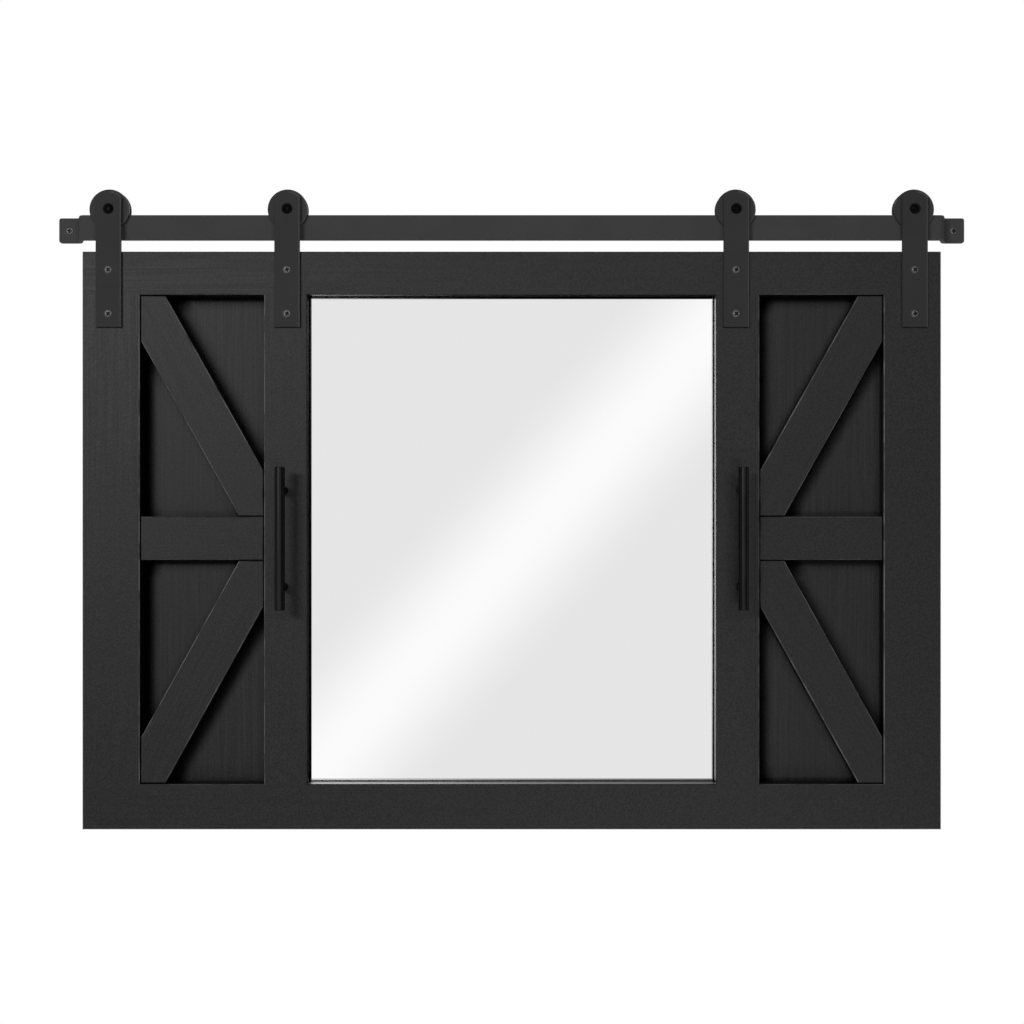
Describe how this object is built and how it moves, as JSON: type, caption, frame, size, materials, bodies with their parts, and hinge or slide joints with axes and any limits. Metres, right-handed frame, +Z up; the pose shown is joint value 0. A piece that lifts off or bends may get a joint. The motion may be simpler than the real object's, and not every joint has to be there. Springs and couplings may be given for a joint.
{
  "type": "barn door wall mirror",
  "caption": "Wall mirror in a black braced barn door style frame, hung by grooved wheels from a flat wall rail, with recessed side panels and bar handles.",
  "frame": {"origin": "on the wall plane, midway between the rail's two screw holes", "axes": "+X to the right seen from the front, +Y into the wall, +Z up"},
  "size_m": [0.9162, 0.0557, 0.6394],
  "materials": {
    "black_painted_wood": "matt paint",
    "black_coated_steel": "matt powder coat",
    "silvered_glass": "polished",
    "hardboard": "bare",
    "zinc_steel": "zinc plated",
    "beech": "bare",
    "felt": "felt"
  },
  "bodies": {
    "rail": {"wall_rail": "black_coated_steel"},
    "mirror_frame": {"top_rail": "black_painted_wood", "bottom_rail": "black_painted_wood", "left_outer_stile": "black_painted_wood", "right_outer_stile": "black_painted_wood", "left_inner_stile": "black_painted_wood", "right_inner_stile": "black_painted_wood", "left_panel": "black_painted_wood", "right_panel": "black_painted_wood", "left_mid_rail": "black_painted_wood", "right_mid_rail": "black_painted_wood", "left_upper_brace": "black_painted_wood", "left_lower_brace": "black_painted_wood", "right_upper_brace": "black_painted_wood", "right_lower_brace": "black_painted_wood", "mirror_glass": "silvered_glass", "mirror_backing": "hardboard", "backing_screws": "zinc_steel", "panel_screws": "zinc_steel", "handle_screws": "zinc_steel", "strap_screws": "zinc_steel", "frame_dowels": "beech", "axle_bolts": "black_coated_steel", "axle_washers": "zinc_steel", "axle_nuts": "zinc_steel", "left_handle_bar": "black_coated_steel", "right_handle_bar": "black_coated_steel", "handle_posts": "black_coated_steel", "wall_bumpers": "felt", "left_outer_strap": "black_coated_steel", "left_inner_strap": "black_coated_steel", "right_inner_strap": "black_coated_steel", "right_outer_strap": "black_coated_steel"},
    "left_outer_wheel": {"left_outer_wheel": "black_coated_steel"},
    "left_inner_wheel": {"left_inner_wheel": "black_coated_steel"},
    "right_inner_wheel": {"right_inner_wheel": "black_coated_steel"},
    "right_outer_wheel": {"right_outer_wheel": "black_coated_steel"}
  },
  "joints": [
    {"name": "frame_roll", "type": "slide", "parent": "rail", "child": "mirror_frame", "axis": [1, 0, 0], "range_m": [-0.006, 0.006]},
    {"name": "left_outer_wheel_spin", "type": "hinge", "parent": "mirror_frame", "child": "left_outer_wheel", "pos_m": [-0.4021, -0.019, 0.0176], "axis": [0, 1, 0], "range_deg": [-75, 75]},
    {"name": "left_inner_wheel_spin", "type": "hinge", "parent": "mirror_frame", "child": "left_inner_wheel", "pos_m": [-0.22395, -0.019, 0.0176], "axis": [0, 1, 0], "range_deg": [-75, 75]},
    {"name": "right_inner_wheel_spin", "type": "hinge", "parent": "mirror_frame", "child": "right_inner_wheel", "pos_m": [0.22395, -0.019, 0.0176], "axis": [0, 1, 0], "range_deg": [-75, 75]},
    {"name": "right_outer_wheel_spin", "type": "hinge", "parent": "mirror_frame", "child": "right_outer_wheel", "pos_m": [0.4021, -0.019, 0.0176], "axis": [0, 1, 0], "range_deg": [-75, 75]}
  ],
  "couplings": [
    {"joint": "left_outer_wheel_spin", "follows": "frame_roll", "rad_per_m": 208.33},
    {"joint": "left_inner_wheel_spin", "follows": "frame_roll", "rad_per_m": 208.33},
    {"joint": "right_inner_wheel_spin", "follows": "frame_roll", "rad_per_m": 208.33},
    {"joint": "right_outer_wheel_spin", "follows": "frame_roll", "rad_per_m": 208.33}
  ]
}
